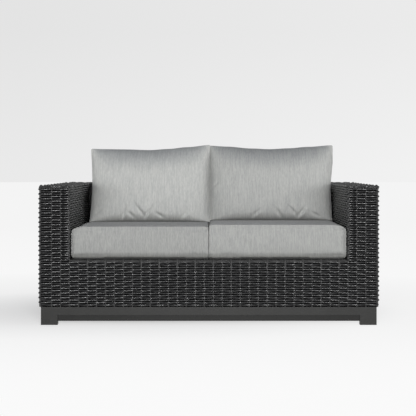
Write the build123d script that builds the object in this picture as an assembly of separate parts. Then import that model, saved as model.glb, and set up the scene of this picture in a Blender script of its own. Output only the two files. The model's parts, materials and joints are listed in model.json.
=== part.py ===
from build123d import *
import math
import os

# Patio loveseat: woven resin body on an aluminium tube frame, metal base, two seat and two back cushions.
# Seen from the front, X runs to the right. The front faces -Y, and Z is up.
# The origin is on the floor under the middle of the whole piece. All sizes are millimetres.

os.makedirs("parts", exist_ok=True)

# Overall
overall_width = 1626.0
overall_depth = 864.0
arm_height = 665.0
arm_width = 151.0
back_thickness = 151.0
half_width = overall_width / 2
half_depth = overall_depth / 2
overrun = 20.0

# Base
base_height = 86.0
base_inset = 10.0
leg_size = 79.0
leg_thickness = 30.0
leg_wall = 3.0
glide_thickness = 4.0
glide_plug_height = 18.0
glide_clearance = 0.3
upper_rail_height = 38.0
upper_rail_depth = 30.0
lower_rail_height = 29.0
lower_rail_depth = 25.0
lower_rail_recess = 5.0
rail_wall = 2.5
crossbar_size = 25.0
corner_plate_width = 80.0
corner_plate_thickness = 4.0
corner_plate_inner_margin = 12.0

# Bolts between base and frame
bolt_radius = 4.0
bolt_length = 25.0
bolt_hole_clearance = 0.3
bolt_thread_clearance = 0.05
bolt_head_height = 5.5
bolt_head_radius = 7.5
bolt_sides = 6
nut_height = 6.5

# Woven skin and the tube frame inside it
skin = 8.0
edge_radius = 10.0
apron_courses = 10
course_groove_width = 3.0
course_groove_depth = 2.0
deck_height = 312.0
tube = 25.0
tube_wall = 2.0
bearer_count = 7
upright_place_share = 1 / 3
centre_post_place_share = 0.15

# Seat cushions
seat_front_setback = 6.0
seat_rear_gap = 32.0
seat_arm_gap = 5.0
seat_middle_gap = 3.0
seat_left_height = 150.0
seat_right_height = 158.0
seat_crown = 5.0
seat_side_draw = 5.0
seat_top_corner = 22.0
seat_bottom_corner = 26.0
seat_end_round = 20.0
seat_section_shares = [0.0, 0.25, 0.5, 0.75, 1.0]
seat_end_crown_share = 0.45
wadding = 13.0
foam_clearance = 0.3
filling_slack = 2.0
soft_clearance = 0.3

# Back cushions
back_left_arm_gap = 25.0
back_right_arm_gap = 7.0
back_middle_gap = 3.0
back_middle_shift = 2.0
back_left_length = 445.0
back_right_length = 436.0
back_cushion_thickness = 232.0
back_left_draws = (13.0, 3.0)
back_right_draws = (3.0, 4.0)
back_left_flares = (3.0, 0.0)
back_right_flares = (0.0, 11.0)
back_flare_from_share = 0.55
back_seam_edge = 12.0
back_end_thickness = 17.0
back_lean = 14.0
back_foot_sink = 25.0
back_rear_press = 8.0
back_left_corner_drops = (21.0, 1.0)
back_left_dip = 29.0
back_right_corner_drops = (2.0, 1.0)
back_right_dip = 23.0
# Height up the cushion and thickness there
back_profile_shares = [
    (0.0, 0.08),
    (0.05, 0.58),
    (0.14, 0.84),
    (0.3, 0.97),
    (0.5, 1.0),
    (0.7, 0.9),
    (0.86, 0.62),
    (0.95, 0.34),
    (1.0, 0.08),
]
back_widest_share = 0.45
filling_shares = [(0.04, 0.25), (0.14, 0.62), (0.3, 0.82), (0.5, 0.87), (0.7, 0.78), (0.86, 0.5), (0.94, 0.2)]
# Place across the cushion and size of the filling there
filling_across_shares = [(-0.9, 0.17), (-0.5, 0.72), (0.0, 0.96), (0.5, 0.72), (0.9, 0.17)]

# Zips
zip_tape_width = 28.0
zip_tape_thickness = 1.2
zip_coil_width = 5.0
zip_coil_height = 1.6
zip_end_margin = 8.0
zip_stop_width = 7.0
zip_stop_length = 3.0
zip_clearance = 0.3
zip_seat_end_gap = 56.5
zip_back_length = 290.0
zip_back_cut = 22.0
slider_length = 12.0
slider_width = 9.0
slider_plate = 1.8
bridge_width = 2.0
bridge_thickness = 1.0
bridge_room_length = 6.0
bridge_room_height = 2.6
pull_length = 20.0
pull_width = 7.0
pull_thickness = 1.4
pull_window_width = 3.2
pull_window_length = 6.0
pull_bar_radius = 0.9

# Places that follow from the sizes
arm_inner = half_width - arm_width
back_front = half_depth - back_thickness
leg_outer_x = half_width - base_inset
leg_outer_y = half_depth - base_inset
leg_inner_x = leg_outer_x - leg_size
leg_inner_y = leg_outer_y - leg_size
rail_inner_x = leg_outer_x - upper_rail_depth
rail_inner_y = leg_outer_y - upper_rail_depth
rail_bottom = base_height - upper_rail_height
frame_x = half_width - skin
frame_y = half_depth - skin
frame_top = arm_height - skin
frame_bottom = base_height
inner_tube_x = arm_inner + skin
back_tube_y = back_front + skin
deck_bottom = deck_height - skin
course_height = (deck_height - base_height) / apron_courses
upright_x = arm_inner * upright_place_share
bolt_x = inner_tube_x + tube / 2
bolt_y = leg_inner_y - corner_plate_width / 2
seat_depth = back_front + half_depth - seat_front_setback - seat_rear_gap
seat_width = arm_inner - seat_arm_gap - seat_middle_gap / 2
seat_front_y = seat_front_setback - half_depth
seat_bottom = deck_height + soft_clearance
back_left_outer_edge = back_left_arm_gap - arm_inner
back_left_inner_edge = -back_middle_shift - back_middle_gap / 2
back_right_inner_edge = -back_middle_shift + back_middle_gap / 2
back_right_outer_edge = arm_inner - back_right_arm_gap
zip_seat_length = seat_width - 2 * zip_seat_end_gap
slider_low = zip_tape_thickness + zip_coil_height + zip_clearance
slider_top = slider_low + slider_plate
pull_pivot_height = slider_top + bridge_room_height / 2
slider_start = zip_end_margin + zip_stop_length + zip_clearance + slider_length / 2


def block(x0, x1, y0, y1, z0, z1):
    """A box between two opposite corners."""
    middle = Pos((x0 + x1) / 2, (y0 + y1) / 2, (z0 + z1) / 2)
    return middle * Box(x1 - x0, y1 - y0, z1 - z0)


def hollow_bar(x0, x1, y0, y1, z0, z1, along, wall):
    """A rectangular tube that is open at both ends of its long axis."""
    end = {axis: overrun if axis == along else -wall for axis in "xyz"}
    bore = block(
        x0 - end["x"], x1 + end["x"], y0 - end["y"], y1 + end["y"], z0 - end["z"], z1 + end["z"]
    )
    return block(x0, x1, y0, y1, z0, z1) - bore


def frame_bar(x0, x1, y0, y1, z0, z1, along):
    return hollow_bar(x0, x1, y0, y1, z0, z1, along, tube_wall)


def across_x(shape):
    """The same shape on the other side of the X = 0 plane."""
    return mirror(shape, about=Plane.YZ)


def across_y(shape):
    """The same shape on the other side of the Y = 0 plane."""
    return mirror(shape, about=Plane.XZ)


def save(name, shapes):
    """Write one node, from one solid or from a group of separate solids."""
    pieces = shapes if isinstance(shapes, list) else [shapes]
    solids = [solid for piece in pieces for solid in piece.solids()]
    export_step(Compound(children=solids) if len(solids) > 1 else solids[0], f"parts/{name}.step")


# Base

def leg_section(inset, z0, z1):
    """Angle-shaped section of a leg, drawn in by an inset, at the rear right corner."""
    square = block(
        leg_inner_x + inset, leg_outer_x - inset, leg_inner_y + inset, leg_outer_y - inset, z0, z1
    )
    inner_corner = block(
        0, leg_outer_x - leg_thickness + inset, 0, leg_outer_y - leg_thickness + inset, z0, z1
    )
    return square - inner_corner


def leg():
    """Hollow angle-shaped leg with a closed top, at the rear right corner."""
    inside = leg_section(leg_wall, glide_thickness - overrun, base_height - leg_wall)
    return leg_section(0, glide_thickness, base_height) - inside


def leg_glide():
    """Plastic foot with a plug that fits up into the leg, at the rear right corner."""
    plug_top = glide_thickness + glide_plug_height
    plug = leg_section(leg_wall + glide_clearance, glide_thickness, plug_top)
    return leg_section(0, 0, glide_thickness) + plug


def upper_rail_rear():
    return hollow_bar(
        -leg_inner_x, leg_inner_x, rail_inner_y, leg_outer_y, rail_bottom, base_height, "x", rail_wall
    )


def upper_rail_right():
    return hollow_bar(
        rail_inner_x, leg_outer_x, -leg_inner_y, leg_inner_y, rail_bottom, base_height, "y", rail_wall
    )


def lower_rail_rear():
    face = leg_outer_y - lower_rail_recess
    low = rail_bottom - lower_rail_height
    return hollow_bar(
        -leg_inner_x, leg_inner_x, face - lower_rail_depth, face, low, rail_bottom, "x", rail_wall
    )


def lower_rail_right():
    face = leg_outer_x - lower_rail_recess
    low = rail_bottom - lower_rail_height
    return hollow_bar(
        face - lower_rail_depth, face, -leg_inner_y, leg_inner_y, low, rail_bottom, "y", rail_wall
    )


def crossbar():
    half = crossbar_size / 2
    return hollow_bar(
        -half, half, -rail_inner_y, rail_inner_y, base_height - crossbar_size, base_height, "y", rail_wall
    )


def bolt_hole(z0, z1):
    """Clearance hole of one frame bolt, at the rear right corner."""
    hole = Cylinder(bolt_radius + bolt_hole_clearance, z1 - z0)
    return Pos(bolt_x, bolt_y, (z0 + z1) / 2) * hole


def corner_plate():
    """Flat plate welded to a side rail behind the leg, drilled for the bolt."""
    low = base_height - corner_plate_thickness
    plate = block(
        inner_tube_x - corner_plate_inner_margin,
        rail_inner_x,
        leg_inner_y - corner_plate_width,
        leg_inner_y,
        low,
        base_height,
    )
    return plate - bolt_hole(low - overrun, base_height + overrun)


def hexagon(height, low):
    prism = extrude(RegularPolygon(bolt_head_radius, bolt_sides), height)
    return Pos(bolt_x, bolt_y, low) * prism


def bolt():
    """Hexagon bolt that comes up through the corner plate into the frame."""
    seat = base_height - corner_plate_thickness
    shank = Pos(bolt_x, bolt_y, seat + bolt_length / 2) * Cylinder(bolt_radius, bolt_length)
    return hexagon(bolt_head_height, seat - bolt_head_height) + shank


def nut():
    """Nut inside the frame tube, on the tube's lower wall."""
    low = frame_bottom + tube_wall
    bore = Cylinder(bolt_radius + bolt_thread_clearance, nut_height + overrun)
    return hexagon(nut_height, low) - Pos(bolt_x, bolt_y, low + nut_height / 2) * bore


def four_corners(shape):
    """The rear right piece and its three mirror copies."""
    rear = [shape, across_x(shape)]
    return rear + [across_y(piece) for piece in rear]


# Aluminium tube frame

def arm_side_rails():
    """Long tubes of the right arm: outer and inner, bottom and top."""
    rails = []
    for low in (frame_bottom, frame_top - tube):
        for x0 in (inner_tube_x, frame_x - tube):
            rails.append(frame_bar(x0, x0 + tube, -frame_y, frame_y, low, low + tube, "y"))
    hole = bolt_hole(frame_bottom - overrun, frame_bottom + tube / 2)
    rails[0] = rails[0] - hole - across_y(hole)
    return rails


def arm_posts():
    """Posts of the right arm: four at the corners and one where the seat's rear rail meets the arm."""
    posts = []
    places = [(x0, y0) for x0 in (inner_tube_x, frame_x - tube) for y0 in (-frame_y, frame_y - tube)]
    places.append((inner_tube_x, back_tube_y))
    for x0, y0 in places:
        posts.append(
            frame_bar(x0, x0 + tube, y0, y0 + tube, frame_bottom + tube, frame_top - tube, "z")
        )
    return posts


def arm_spreaders():
    """Short tubes that hold the right arm's inner and outer rails apart."""
    bars = []
    for low in (frame_bottom, frame_top - tube):
        for y0 in (-frame_y, frame_y - tube):
            bars.append(
                frame_bar(inner_tube_x + tube, frame_x - tube, y0, y0 + tube, low, low + tube, "x")
            )
    return bars


def cross_rail(y0, low):
    """A tube from arm to arm."""
    return frame_bar(-inner_tube_x, inner_tube_x, y0, y0 + tube, low, low + tube, "x")


def upright(x, y0, z0, z1):
    return frame_bar(x - tube / 2, x + tube / 2, y0, y0 + tube, z0, z1, "z")


def back_uprights():
    bars = []
    for x in (-upright_x, upright_x):
        bars.append(upright(x, back_tube_y, deck_bottom, frame_top - tube))
        bars.append(upright(x, frame_y - tube, frame_bottom + tube, frame_top - tube))
    return bars


def back_spreaders():
    """Short tubes from the front tubes of the back to its rear tubes."""
    bars = []
    for x in (-upright_x, upright_x):
        for low in (deck_bottom - tube, frame_top - tube):
            bars.append(
                frame_bar(
                    x - tube / 2, x + tube / 2, back_tube_y + tube, frame_y - tube, low, low + tube, "y"
                )
            )
    return bars


def seat_bearers():
    """Tubes under the deck, from the front rail to the rear rail."""
    bars = []
    first = tube / 2 - inner_tube_x
    step = -2 * first / (bearer_count - 1)
    for i in range(bearer_count):
        x = first + i * step
        bars.append(
            frame_bar(
                x - tube / 2, x + tube / 2, tube - frame_y, back_tube_y, deck_bottom - tube, deck_bottom, "y"
            )
        )
    return bars


def seat_centre_post():
    """Post that stands on the base's crossbar and carries the middle bearer."""
    y0 = -overall_depth * centre_post_place_share
    return upright(0, y0, base_height, deck_bottom - tube)


def apron_uprights():
    return [
        upright(x, -frame_y, frame_bottom + tube, deck_bottom - tube) for x in (-upright_x, upright_x)
    ]


# Woven skin

def woven_body(inset):
    """The outside of the woven body with its upright corners rounded, drawn in by an inset."""
    x, y = half_width - inset, half_depth - inset
    seat_x, seat_y = arm_inner + inset, back_front + inset
    body = block(-x, x, -y, y, base_height, arm_height - inset)
    pocket = block(-seat_x, seat_x, -y - overrun, seat_y, deck_height - inset, arm_height + overrun)
    outer = body - pocket
    corners = outer.edges().filter_by(Axis.Z).filter_by(
        lambda edge: abs(edge.center().Y) > back_front + skin
    )
    return fillet(corners, edge_radius - inset)


def course_grooves():
    """Shallow level grooves between the courses of the weave, on every upright face."""
    core = woven_body(course_groove_depth)
    x, y = half_width + overrun, half_depth + overrun
    count = math.floor((arm_height - edge_radius - base_height) / course_height)
    grooves = []
    for i in range(count):
        middle = base_height + (i + 1 / 2) * course_height
        low, high = middle - course_groove_width / 2, middle + course_groove_width / 2
        grooves.append(block(-x, x, -y, y, low, high) - core)
    return grooves


def skin_shell():
    """The whole woven skin in one piece: both arms, back, apron and deck, open underneath."""
    outer = woven_body(0)
    rim = outer.edges().filter_by(lambda edge: edge.center().Z > arm_height - skin)
    outer = fillet(rim, edge_radius) - course_grooves()
    room = block(-frame_x, frame_x, -frame_y, frame_y, base_height - overrun, frame_top)
    seat_walls = block(
        -inner_tube_x, inner_tube_x, -half_depth - overrun, back_tube_y, deck_bottom, arm_height
    )
    return outer - (room - seat_walls)


def skin_arm(shell):
    """The right arm's skin."""
    return shell & block(
        arm_inner, half_width + overrun, -half_depth - overrun, half_depth + overrun, 0, arm_height + overrun
    )


def skin_back(shell):
    between = block(-arm_inner, arm_inner, back_front, half_depth + overrun, 0, arm_height + overrun)
    under_deck = block(-arm_inner, arm_inner, back_front - overrun, back_tube_y, 0, deck_height)
    return shell & (between - under_deck)


def skin_apron(shell):
    return shell & block(-arm_inner, arm_inner, -half_depth - overrun, -frame_y, 0, deck_height)


def skin_deck(shell):
    return shell & block(-arm_inner, arm_inner, -frame_y, back_tube_y, deck_bottom, deck_height)


# Seat cushions

def corner_arc(x, z, x_side, z_side, radius):
    """Quarter round at the corner (x, z) of an outline, from the side edge to the flat edge."""
    inward = radius * (1 - math.sqrt(0.5))
    return ThreePointArc(
        (x, z + z_side * radius), (x + x_side * inward, z + z_side * inward), (x + x_side * radius, z)
    )


def seat_section(y, half, high, crown):
    """Outline of a boxed cushion across its width: rounded corners and a crowned top."""
    r_low, r_high = seat_bottom_corner, seat_top_corner
    outline = [
        corner_arc(half, 0, -1, 1, r_low),
        Line((half, r_low), (half, high - r_high)),
        corner_arc(half, high, -1, -1, r_high),
        ThreePointArc((half - r_high, high), (0, high + crown), (r_high - half, high)),
        corner_arc(-half, high, 1, -1, r_high),
        Line((-half, high - r_high), (-half, r_low)),
        corner_arc(-half, 0, 1, 1, r_low),
        Line((r_low - half, 0), (half - r_low, 0)),
    ]
    section_plane = Plane(origin=(0, y, 0), x_dir=(1, 0, 0), z_dir=(0, -1, 0))
    return section_plane * make_face(outline)


def seat_body(height):
    """A boxed cushion on Z = 0 with its front at Y = 0: crowned, drawn in at the sides, rounded ends."""
    sections = []
    for share in seat_section_shares:
        bow = math.sin(math.pi * share)
        crown = seat_crown * (seat_end_crown_share + (1 - seat_end_crown_share) * bow)
        half = seat_width / 2 - seat_side_draw * bow
        sections.append(seat_section(seat_depth * share, half, height, crown))
    body = loft(sections)
    ends = body.faces().sort_by(Axis.Y)
    return fillet(ends[0].edges() + ends[-1].edges(), seat_end_round)


def foam_block(height, inset):
    """The boxed cushion's foam block, or the room for it in the cover and its wadding."""
    half = seat_width / 2 - seat_side_draw - inset
    return block(-half, half, inset, seat_depth - inset, inset, height - inset)


# Back cushions

def back_section(z, left, right, thickness, edge):
    """Outline of a knife-edge cushion at one height: two bulging faces and two thin seams."""
    middle, seam = (left + right) / 2, edge / 2
    outline = [
        ThreePointArc((left, -seam), (middle, -thickness / 2), (right, -seam)),
        Line((right, -seam), (right, seam)),
        ThreePointArc((right, seam), (middle, thickness / 2), (left, seam)),
        Line((left, seam), (left, -seam)),
    ]
    return Pos(0, 0, z) * make_face(outline)


def back_top_cut(low_x, high_x, length, drops, dip):
    """What lies above the top seam, which dips between the two corners."""
    left, right = (low_x, length - drops[0]), (high_x, length - drops[1])
    far_left, far_right = (left[0] - overrun, left[1]), (right[0] + overrun, right[1])
    high = length + overrun
    outline = [
        Line(far_left, left),
        ThreePointArc(left, (0, length - dip), right),
        Line(right, far_right),
        Line(far_right, (far_right[0], high)),
        Line((far_right[0], high), (far_left[0], high)),
        Line((far_left[0], high), far_left),
    ]
    return extrude(Plane.XZ * make_face(outline), back_cushion_thickness, both=True)


def back_zip_plane(length):
    """Plane of the zip on the lower rear face, along the profile between two of its stations."""
    low_place, low_thick = back_profile_shares[2]
    high_place, high_thick = back_profile_shares[3]
    half = back_cushion_thickness / 2
    rise = (high_place - low_place) * length
    swell = (high_thick - low_thick) * half
    size = math.hypot(rise, swell)
    normal = Vector(0, rise / size, -swell / size)
    middle = Vector(0, (low_thick + high_thick) / 2 * half, (low_place + high_place) / 2 * length)
    return Plane(origin=middle - normal * zip_back_cut, x_dir=(1, 0, 0), z_dir=normal)


def back_place(left, right, length, foot):
    """Where a back cushion stands: its bottom seam's middle, leaning back."""
    lean = math.radians(back_lean)
    y = (
        back_front
        + back_rear_press
        - back_cushion_thickness / 2 / math.cos(lean)
        - back_widest_share * length * math.sin(lean)
    )
    return Pos((left + right) / 2, y, foot - back_foot_sink) * Rot(-back_lean, 0, 0)


def back_room(foot, inset):
    """The space that a standing back cushion may fill: above the seat and in front of the back."""
    return block(
        -half_width,
        half_width,
        -half_depth,
        back_front - soft_clearance - inset,
        foot + inset,
        foot + arm_height,
    )


def behind_zip(length, inset):
    """What the flat round the zip cuts off the rear face."""
    cut = block(-half_width, half_width, -half_width, half_width, 0, half_width)
    return back_zip_plane(length).location * Pos(0, 0, -inset) * cut


def back_body(left, right, length, drops, dip, draws, flares, foot):
    """A knife-edge cushion in its place, flat where it stands and leans."""
    half = (right - left) / 2
    sections = []
    for place, thick in back_profile_shares:
        bow = math.sin(math.pi * place)
        spread = max(0, place - back_flare_from_share) / (1 - back_flare_from_share)
        low_x = -half + draws[0] * bow - flares[0] * spread
        high_x = half - draws[1] * bow + flares[1] * spread
        full = max(thick * back_cushion_thickness, back_end_thickness)
        sections.append(back_section(place * length, low_x, high_x, full, back_seam_edge))
    body = loft(sections) - back_top_cut(-half - flares[0], half + flares[1], length, drops, dip)
    body -= behind_zip(length, 0)
    return back_place(left, right, length, foot) * body & back_room(foot, 0)


def filling_section(x, length, size_share):
    """Outline of the fibre filling at one place across the cushion, smaller towards the sides."""
    half = back_cushion_thickness / 2 * size_share
    front = []
    for place, thick in filling_shares:
        front.append((-thick * half, length * (1 / 2 + (place - 1 / 2) * size_share)))
    rear = [(-y, z) for y, z in reversed(front)]
    section_plane = Plane(origin=(x, 0, 0), x_dir=(0, 1, 0), z_dir=(1, 0, 0))
    return section_plane * make_face(Polyline(*front, *rear, close=True))


def back_filling(left, right, length, foot, slack):
    """The fibre filling of a back cushion, or with no slack the room for it inside the wadding."""
    fit_share = 1 - 2 * (wadding + slack) / length
    sections = []
    for across, size in filling_across_shares:
        x = across * fit_share * (right - left) / 2
        sections.append(filling_section(x, length, size * fit_share))
    body = loft(sections, ruled=True) - behind_zip(length, wadding)
    return back_place(left, right, length, foot) * body & back_room(foot, wadding)


# Zips, drawn along X on the Z = 0 plane with the cushion below it

def zip_tape(length):
    """Two tapes with the closed coil between them and a stop at each end of the coil."""
    coil_top = zip_tape_thickness + zip_coil_height
    end = length / 2 - zip_end_margin
    tape = block(
        -length / 2, length / 2, -zip_tape_width / 2, zip_tape_width / 2, 0, zip_tape_thickness
    )
    tape += block(-end, end, -zip_coil_width / 2, zip_coil_width / 2, zip_tape_thickness, coil_top)
    for x in (-end, end - zip_stop_length):
        tape += block(
            x, x + zip_stop_length, -zip_stop_width / 2, zip_stop_width / 2, zip_tape_thickness, coil_top
        )
    return tape


def zip_slider():
    """Slider over the coil, with the bridge that the pull hangs on."""
    half = slider_length / 2
    slider = block(-half, half, -slider_width / 2, slider_width / 2, slider_low, slider_top)
    flange_inner = zip_coil_width / 2 + zip_clearance
    for side in (-1, 1):
        y0, y1 = sorted((side * flange_inner, side * slider_width / 2))
        slider += block(-half, half, y0, y1, zip_tape_thickness + zip_clearance, slider_low)
    room = bridge_room_length / 2
    room_top = slider_top + bridge_room_height
    bridge = block(
        -room - bridge_thickness,
        room + bridge_thickness,
        -bridge_width / 2,
        bridge_width / 2,
        slider_top,
        room_top + bridge_thickness,
    )
    return slider + (bridge - block(-room, room, -bridge_width, bridge_width, slider_top, room_top))


def zip_pull():
    """Pull tab with a window for the bridge and a round bar under it."""
    half = pull_thickness / 2
    tab = block(0, pull_length, -pull_width / 2, pull_width / 2, -half, half)
    tab -= block(
        0, pull_window_length, -pull_window_width / 2, pull_window_width / 2, -pull_thickness, pull_thickness
    )
    bar = Rot(90, 0, 0) * Cylinder(pull_bar_radius, pull_width)
    return Pos(0, 0, pull_pivot_height) * (tab + bar)


def save_zip(name, length, place):
    """Write one zip at its place, and print the turning axis of its pull."""
    start = place * Pos(slider_start - length / 2, 0, 0)
    save(f"{name}_zip_tape", place * zip_tape(length))
    save(f"{name}_zip_slider", start * zip_slider())
    save(f"{name}_zip_pull", start * zip_pull())
    pivot = (start * Pos(0, 0, pull_pivot_height)).position
    print(name, "pull pivot", pivot, "axis", Plane(start).y_dir * -1)


def save_seat_cushion(name, side, height):
    """Write one seat cushion: cover, foam and zip. The side is -1 on the left and 1 on the right."""
    x = side * (seat_middle_gap + seat_width) / 2
    place = Pos(x, seat_front_y, seat_bottom)
    save(f"{name}_cover", place * (seat_body(height) - foam_block(height, wadding)))
    save(f"{name}_foam", place * foam_block(height, wadding + foam_clearance))
    middle = (x, seat_front_y + seat_depth, seat_bottom + height / 2)
    band = Plane(origin=middle, x_dir=(1, 0, 0), z_dir=(0, 1, 0))
    save_zip(name, zip_seat_length, band.location)


def save_back_cushion(name, left, right, length, drops, dip, draws, flares, seat_height):
    """Write one back cushion: cover, fibre filling and zip."""
    foot = seat_bottom + seat_height + seat_crown + soft_clearance
    room = back_filling(left, right, length, foot, 0)
    save(f"{name}_cover", back_body(left, right, length, drops, dip, draws, flares, foot) - room)
    save(f"{name}_filling", back_filling(left, right, length, foot, filling_slack))
    place = back_place(left, right, length, foot) * back_zip_plane(length).location
    save_zip(name, zip_back_length, place)


# Write the nodes

save("leg_rear_right", leg())
save("leg_rear_left", across_x(leg()))
save("leg_front_right", across_y(leg()))
save("leg_front_left", across_y(across_x(leg())))
save("leg_glides", four_corners(leg_glide()))
save("base_rail_rear", upper_rail_rear())
save("base_rail_front", across_y(upper_rail_rear()))
save("base_rail_right", upper_rail_right())
save("base_rail_left", across_x(upper_rail_right()))
save("lower_rail_rear", lower_rail_rear())
save("lower_rail_front", across_y(lower_rail_rear()))
save("lower_rail_right", lower_rail_right())
save("lower_rail_left", across_x(lower_rail_right()))
save("base_crossbar", crossbar())
save("base_corner_plates", four_corners(corner_plate()))
save("base_bolts", four_corners(bolt()))
save("base_nuts", four_corners(nut()))

for make, name in (
    (arm_side_rails, "side_rails"),
    (arm_posts, "posts"),
    (arm_spreaders, "spreaders"),
):
    save(f"arm_right_{name}", make())
    save(f"arm_left_{name}", [across_x(bar) for bar in make()])
save("back_top_rails", [cross_rail(y0, frame_top - tube) for y0 in (back_tube_y, frame_y - tube)])
save("back_bottom_rail", cross_rail(frame_y - tube, frame_bottom))
save("back_uprights", back_uprights())
save("back_spreaders", back_spreaders())
save("seat_rail_front", cross_rail(-frame_y, deck_bottom - tube))
save("seat_rail_rear", cross_rail(back_tube_y, deck_bottom - tube))
save("seat_bearers", seat_bearers())
save("seat_centre_post", seat_centre_post())
save("apron_rail", cross_rail(-frame_y, frame_bottom))
save("apron_uprights", apron_uprights())

woven = skin_shell()
save("wicker_arm_right", skin_arm(woven))
save("wicker_arm_left", across_x(skin_arm(woven)))
save("wicker_back", skin_back(woven))
save("wicker_apron", skin_apron(woven))
save("wicker_deck", skin_deck(woven))

save_seat_cushion("seat_cushion_left", -1, seat_left_height)
save_seat_cushion("seat_cushion_right", 1, seat_right_height)
save_back_cushion(
    "back_cushion_left",
    back_left_outer_edge,
    back_left_inner_edge,
    back_left_length,
    back_left_corner_drops,
    back_left_dip,
    back_left_draws,
    back_left_flares,
    seat_left_height,
)
save_back_cushion(
    "back_cushion_right",
    back_right_inner_edge,
    back_right_outer_edge,
    back_right_length,
    back_right_corner_drops,
    back_right_dip,
    back_right_draws,
    back_right_flares,
    seat_right_height,
)
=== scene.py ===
import json
import math
import random

import bmesh
import bpy
from bpy.props import FloatProperty, FloatVectorProperty, IntProperty, PointerProperty
from mathutils import Matrix, Vector


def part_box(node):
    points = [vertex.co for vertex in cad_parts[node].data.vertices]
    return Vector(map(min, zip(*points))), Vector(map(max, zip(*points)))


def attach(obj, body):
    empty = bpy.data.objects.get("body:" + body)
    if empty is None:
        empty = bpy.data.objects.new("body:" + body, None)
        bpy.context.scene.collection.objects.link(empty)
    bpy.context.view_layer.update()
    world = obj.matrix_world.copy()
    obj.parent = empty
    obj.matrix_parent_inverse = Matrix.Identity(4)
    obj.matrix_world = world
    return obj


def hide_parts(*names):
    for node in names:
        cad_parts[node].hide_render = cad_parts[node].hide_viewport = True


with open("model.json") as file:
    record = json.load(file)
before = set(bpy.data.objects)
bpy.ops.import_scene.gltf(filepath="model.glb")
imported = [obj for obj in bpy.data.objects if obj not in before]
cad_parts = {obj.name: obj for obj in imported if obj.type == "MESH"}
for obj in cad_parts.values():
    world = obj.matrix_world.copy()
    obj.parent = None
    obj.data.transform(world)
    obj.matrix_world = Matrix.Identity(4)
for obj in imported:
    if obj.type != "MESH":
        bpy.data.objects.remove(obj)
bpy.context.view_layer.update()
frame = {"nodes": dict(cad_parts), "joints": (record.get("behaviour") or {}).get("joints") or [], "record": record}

bl_info = {
    "name": "Patio loveseat",
    "version": (1, 0, 0),
    "blender": (4, 5, 0),
    "location": "View3D > Sidebar > Loveseat",
    "description": "Builds a woven patio loveseat with two seat cushions and two back cushions",
    "category": "Add Mesh",
}

body_low = Vector(map(min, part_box("wicker_arm_left")[0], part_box("wicker_apron")[0]))
body_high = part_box("wicker_arm_right")[1]
arm_inner_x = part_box("wicker_arm_right")[0].x
back_front_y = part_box("wicker_back")[0].y
deck_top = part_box("wicker_deck")[1].z


# Sizes and colours that a user would change

class LoveseatWeave(bpy.types.PropertyGroup):
    row_pitch: FloatProperty(
        name="Row pitch", description="Height from one row of weaving to the next",
        default=0.01125, unit="LENGTH", subtype="DISTANCE",
    )
    strand_width: FloatProperty(
        name="Strand width", description="Width of a weaving strand",
        default=0.0097, unit="LENGTH", subtype="DISTANCE",
    )
    strand_thickness: FloatProperty(
        name="Strand thickness", description="Thickness of a weaving strand",
        default=0.0046, unit="LENGTH", subtype="DISTANCE",
    )
    wave: FloatProperty(
        name="Wave", description="How far a strand swings out over a stake and in behind the next",
        default=0.0042, unit="LENGTH", subtype="DISTANCE",
    )
    depth: FloatProperty(
        name="Depth", description="How far the middle of the weave lies inside the outer face",
        default=0.0022, unit="LENGTH", subtype="DISTANCE",
    )
    side_stakes: IntProperty(
        name="Side stakes", description="Number of gaps between stakes along an arm's side",
        default=18, min=2,
    )
    rear_stakes: IntProperty(
        name="Rear stakes", description="Number of gaps between stakes along the rear",
        default=35, min=2,
    )
    front_stakes: IntProperty(
        name="Front stakes", description="Number of gaps between the outer stakes of the front",
        default=35, min=2,
    )
    first_stake: FloatProperty(
        name="First stake", description="Place of the first stake from an outer front corner",
        default=0.0625, unit="LENGTH", subtype="DISTANCE",
    )
    stake_radius: FloatProperty(
        name="Stake radius", description="Half the thickness of a stake",
        default=0.0023, unit="LENGTH", subtype="DISTANCE",
    )
    top_rows: IntProperty(
        name="Top rows", description="Rows of weaving across the top of an arm", default=13, min=1,
    )
    colour: FloatVectorProperty(
        name="Resin colour", description="Colour of the woven resin",
        default=(0.0065, 0.0065, 0.007), size=3, min=0, max=1, subtype="COLOR",
    )


class LoveseatCushions(bpy.types.PropertyGroup):
    light: FloatVectorProperty(
        name="Light yarn", description="Colour of the cloth's light yarn",
        default=(0.50, 0.505, 0.485), size=3, min=0, max=1, subtype="COLOR",
    )
    dark: FloatVectorProperty(
        name="Dark yarn", description="Colour of the cloth's dark yarn",
        default=(0.36, 0.365, 0.36), size=3, min=0, max=1, subtype="COLOR",
    )
    seat_round: FloatProperty(
        name="Seat edge round", description="Rounding of a seat cushion's edges",
        default=0.021, unit="LENGTH", subtype="DISTANCE",
    )
    seat_crown: FloatProperty(
        name="Seat crown", description="How far a seat cushion's top rises in the middle",
        default=0.009, unit="LENGTH", subtype="DISTANCE",
    )
    pressure: FloatProperty(
        name="Filling pressure", description="How hard the filling presses on the cloth", default=4.0,
    )
    swell: FloatProperty(
        name="Swell limit", description="Furthest that the filling moves the cloth",
        default=0.012, unit="LENGTH", subtype="DISTANCE",
    )


class LoveseatBase(bpy.types.PropertyGroup):
    colour: FloatVectorProperty(
        name="Powder coat colour", description="Colour of the base's powder coat",
        default=(0.026, 0.026, 0.025), size=3, min=0, max=1, subtype="COLOR",
    )


# Materials

def shader(name, colour, roughness, specular=0.5, metallic=0.0):
    """A new material with its main shader set to plain values."""
    material = bpy.data.materials.new(name)
    material.use_nodes = True
    main = material.node_tree.nodes["Principled BSDF"]
    main.inputs["Base Color"].default_value = (*colour, 1)
    main.inputs["Roughness"].default_value = roughness
    main.inputs["Specular IOR Level"].default_value = specular
    main.inputs["Metallic"].default_value = metallic
    return material, material.node_tree, main


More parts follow.
